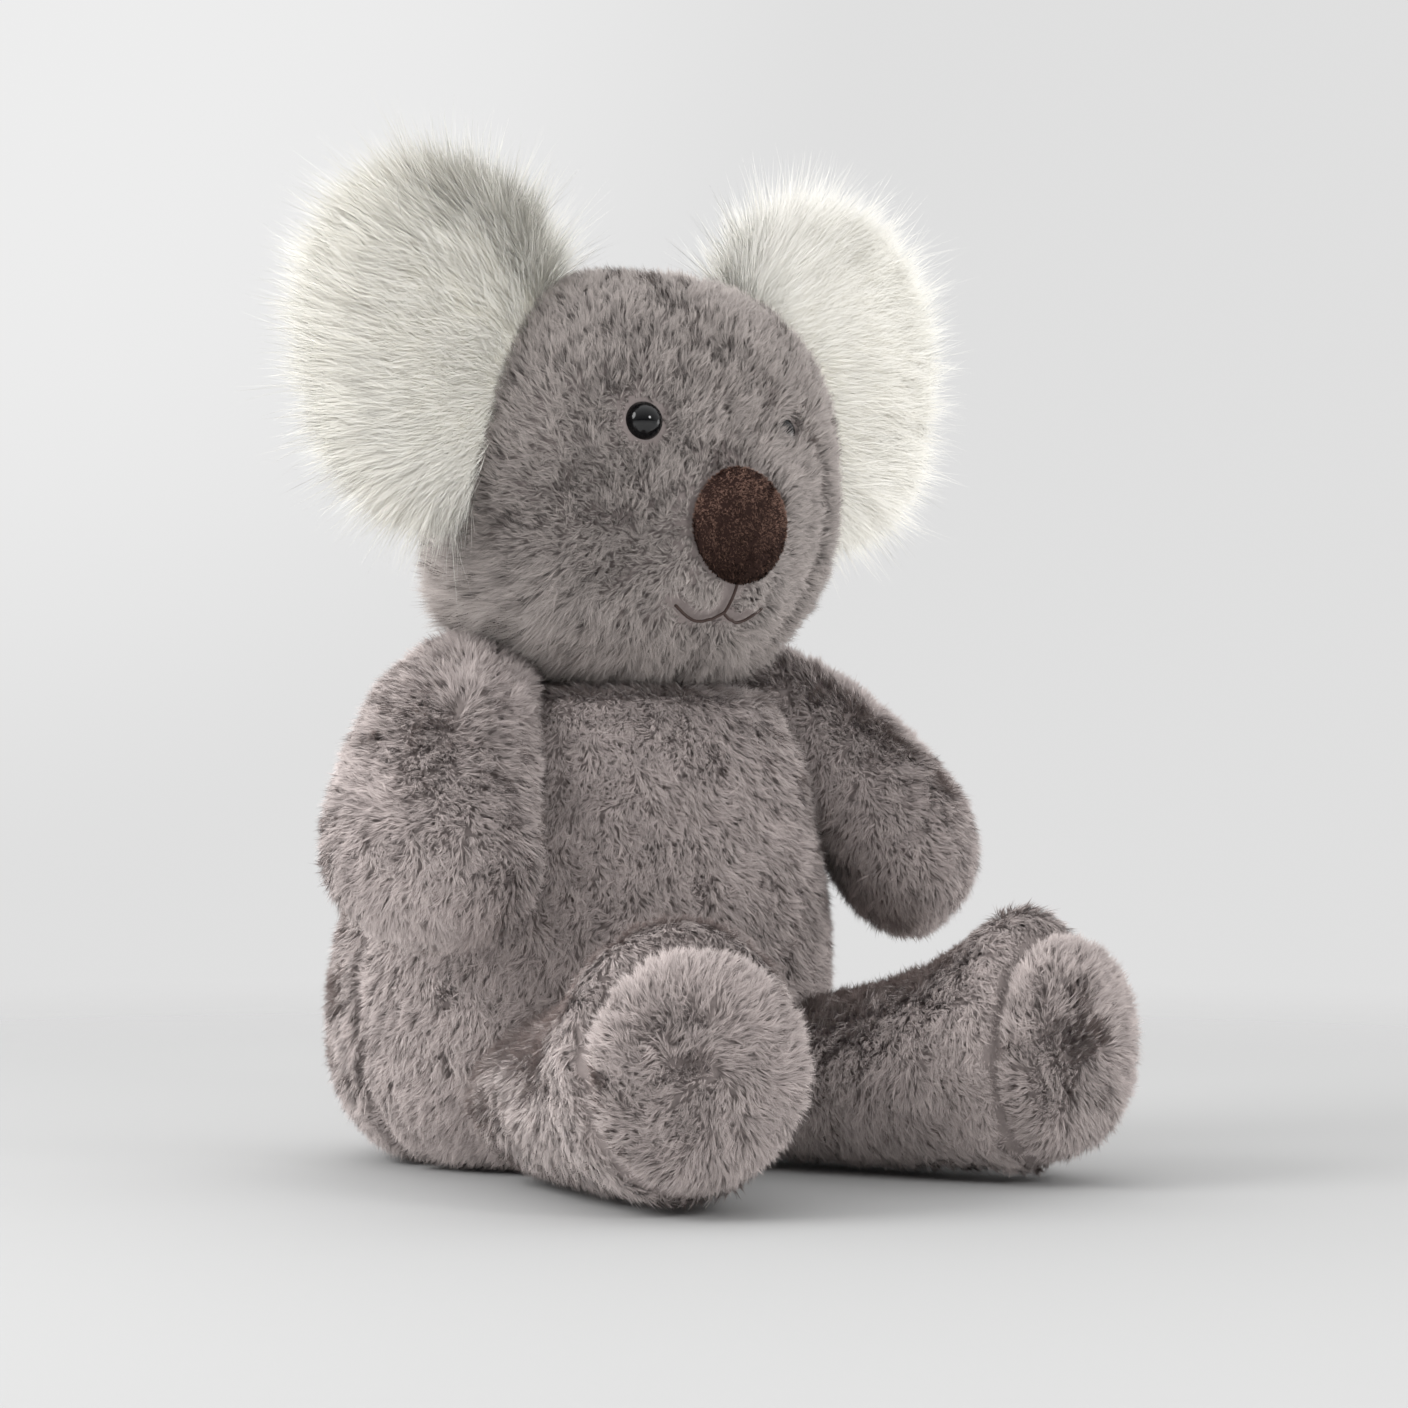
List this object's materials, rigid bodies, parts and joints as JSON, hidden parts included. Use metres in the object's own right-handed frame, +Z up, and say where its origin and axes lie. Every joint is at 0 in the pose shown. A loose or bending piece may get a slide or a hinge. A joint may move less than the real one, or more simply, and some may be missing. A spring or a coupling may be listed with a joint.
{
  "type": "plush koala",
  "caption": "Seated plush koala with a round head, large fluffy white ears, soft paddle arms and legs stretched forward, in grey-brown pile.",
  "frame": {"origin": "on the ground, at the middle of the flat underside of the seat", "axes": "+Z up, the koala faces -Y, and its own left is +X"},
  "size_m": [0.2414, 0.2458, 0.3104],
  "materials": {
    "grey_plush": "soft grey-brown pile, 8 to 10 mm, lying in small clumps",
    "white_pile": "long ivory-white shaggy pile, 20 to 35 mm",
    "nose_velvet": "dark brown short velvet pile",
    "eye_plastic": "polished black moulded plastic",
    "thread": "dark brown embroidery thread",
    "fibre": "white fibre filling",
    "pouch_cloth": "plain woven bag of pellets",
    "washer_plastic": "plain moulded lock washer"
  },
  "bodies": {
    "body": {"body_front": "grey_plush", "body_back": "grey_plush", "body_stuffing": "fibre", "seat_pellet_pouch": "pouch_cloth"},
    "neck": {"neck_stuffing": "fibre"},
    "head": {"face_right": "grey_plush", "face_left": "grey_plush", "head_back": "grey_plush", "head_stuffing": "fibre", "nose": "nose_velvet", "mouth_thread": "thread", "right_eye": "eye_plastic", "left_eye": "eye_plastic", "right_eye_washer": "washer_plastic", "left_eye_washer": "washer_plastic"},
    "right_ear": {"right_ear_front": "white_pile", "right_ear_back": "grey_plush"},
    "right_arm": {"right_arm": "grey_plush", "right_arm_stuffing": "fibre"},
    "right_leg": {"right_leg": "grey_plush", "right_sole": "grey_plush", "right_leg_stuffing": "fibre"},
    "left_ear": {"left_ear_front": "white_pile", "left_ear_back": "grey_plush"},
    "left_arm": {"left_arm": "grey_plush", "left_arm_stuffing": "fibre"},
    "left_leg": {"left_leg": "grey_plush", "left_sole": "grey_plush", "left_leg_stuffing": "fibre"}
  },
  "joints": [
    {"name": "neck_turn", "type": "hinge", "parent": "body", "child": "neck", "pos_m": [0, -0.028, 0.151], "axis": [0, 0, 1], "range_deg": [-25, 25], "stiffness_Nm_per_rad": 0.4},
    {"name": "head_nod", "type": "hinge", "parent": "neck", "child": "head", "pos_m": [0, -0.028, 0.151], "axis": [1, 0, 0], "range_deg": [-8, 10], "stiffness_Nm_per_rad": 0.6},
    {"name": "right_ear_bend", "type": "hinge", "parent": "head", "child": "right_ear", "pos_m": [-0.06, -0.032, 0.241], "axis": [0.4067, 0, 0.9135], "range_deg": [-12, 12], "stiffness_Nm_per_rad": 0.04},
    {"name": "right_arm_lift", "type": "hinge", "parent": "body", "child": "right_arm", "pos_m": [-0.05, -0.028, 0.1455], "axis": [-0.7071, 0.7071, 0], "range_deg": [0, 45], "stiffness_Nm_per_rad": 0.1},
    {"name": "right_leg_raise", "type": "hinge", "parent": "body", "child": "right_leg", "pos_m": [-0.043, -0.06, 0.0265], "axis": [-0.9636, 0.2672, 0], "range_deg": [0, 35], "stiffness_Nm_per_rad": 0.15},
    {"name": "left_ear_bend", "type": "hinge", "parent": "head", "child": "left_ear", "pos_m": [0.06, -0.032, 0.241], "axis": [-0.4067, 0, 0.9135], "range_deg": [-12, 12], "stiffness_Nm_per_rad": 0.04},
    {"name": "left_arm_lift", "type": "hinge", "parent": "body", "child": "left_arm", "pos_m": [0.05, -0.028, 0.1455], "axis": [-0.7071, -0.7071, 0], "range_deg": [0, 45], "stiffness_Nm_per_rad": 0.1},
    {"name": "left_leg_raise", "type": "hinge", "parent": "body", "child": "left_leg", "pos_m": [0.043, -0.06, 0.0265], "axis": [-0.9636, -0.2672, 0], "range_deg": [0, 35], "stiffness_Nm_per_rad": 0.15}
  ]
}
